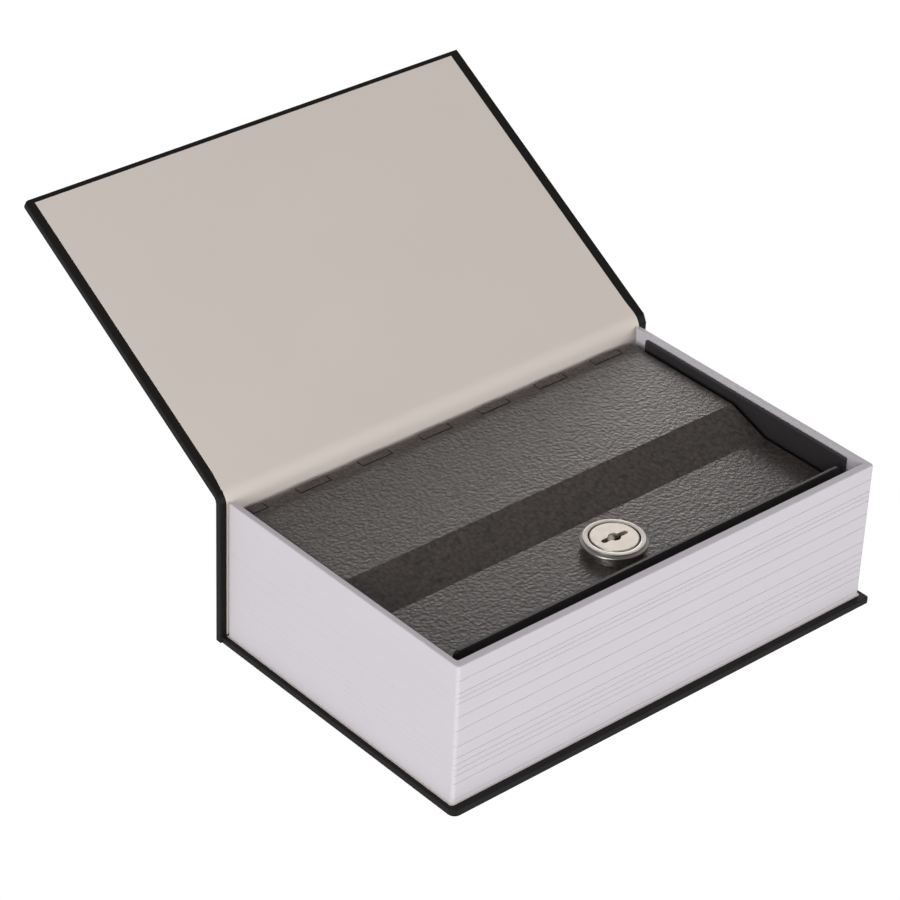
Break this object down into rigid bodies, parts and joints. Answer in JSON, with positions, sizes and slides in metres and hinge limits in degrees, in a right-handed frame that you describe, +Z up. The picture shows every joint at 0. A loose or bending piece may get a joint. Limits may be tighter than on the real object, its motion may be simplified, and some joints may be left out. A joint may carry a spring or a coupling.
{
  "type": "book diversion safe",
  "caption": "Dummy book with a hinged black cover and a ridged white page block that holds a hammered steel box with a stepped, hinged lid and a cam lock.",
  "frame": {"origin": "the middle of the page block's footprint, on the surface that the lower cover lies on", "axes": "+X along the book's height, +Y from the fore-edge to the spine, +Z up through the lid"},
  "size_m": [0.1803, 0.2132, 0.1141],
  "materials": {
    "cover_paper": "matt black cover paper",
    "grey_board": "raw grey board",
    "endpaper": "matt warm grey paper",
    "page_plastic": "satin white moulding",
    "box_paint": "semi-gloss black paint on steel",
    "hammered_paint": "hammered dark grey paint on steel",
    "chrome_ring": "polished chrome plate",
    "satin_face": "satin nickel plate",
    "lock_brass": "plain brass",
    "zinc_steel": "zinc-plated steel"
  },
  "bodies": {
    "case": {"case_wrap": "cover_paper", "back_board": "grey_board", "back_pastedown": "endpaper", "spine_board": "grey_board", "joint_cloth": "cover_paper", "spine_liner": "endpaper", "page_block": "page_plastic", "box_body": "box_paint", "hinge_pin": "zinc_steel", "box_rivet_1": "zinc_steel", "box_rivet_2": "zinc_steel", "box_rivet_3": "zinc_steel", "box_rivet_4": "zinc_steel"},
    "upper_cover": {"front_cover_wrap": "cover_paper", "front_board": "grey_board", "front_endpaper": "endpaper"},
    "lid": {"box_lid": "hammered_paint", "lock_housing": "chrome_ring", "lock_bezel": "chrome_ring", "lock_nut": "zinc_steel", "lock_washer": "zinc_steel"},
    "plug": {"lock_plug": "satin_face", "lock_cam": "zinc_steel", "cam_washer": "zinc_steel", "cam_screw": "zinc_steel", "wafer_spring_1": "zinc_steel", "wafer_spring_2": "zinc_steel", "wafer_spring_3": "zinc_steel", "wafer_spring_4": "zinc_steel"},
    "first_wafer": {"wafer_1": "lock_brass"},
    "second_wafer": {"wafer_2": "lock_brass"},
    "third_wafer": {"wafer_3": "lock_brass"},
    "fourth_wafer": {"wafer_4": "lock_brass"}
  },
  "joints": [
    {"name": "cover_swing", "type": "hinge", "parent": "case", "child": "upper_cover", "pos_m": [0, 0.05715, 0.05423], "axis": [-1, 0, 0], "range_deg": [-149.32, 56]},
    {"name": "lid_swing", "type": "hinge", "parent": "case", "child": "lid", "pos_m": [0, 0.051, 0.0468], "axis": [-1, 0, 0], "range_deg": [0, 100]},
    {"name": "plug_turn", "type": "hinge", "parent": "lid", "child": "plug", "pos_m": [0, -0.0267, 0.0434], "axis": [0, 0, 1], "range_deg": [-90, 0]},
    {"name": "first_wafer_slide", "type": "slide", "parent": "plug", "child": "first_wafer", "axis": [1, 0, 0], "range_m": [-0.0008, 0]},
    {"name": "second_wafer_slide", "type": "slide", "parent": "plug", "child": "second_wafer", "axis": [1, 0, 0], "range_m": [-0.0008, 0]},
    {"name": "third_wafer_slide", "type": "slide", "parent": "plug", "child": "third_wafer", "axis": [1, 0, 0], "range_m": [-0.0008, 0]},
    {"name": "fourth_wafer_slide", "type": "slide", "parent": "plug", "child": "fourth_wafer", "axis": [1, 0, 0], "range_m": [-0.0008, 0]}
  ]
}
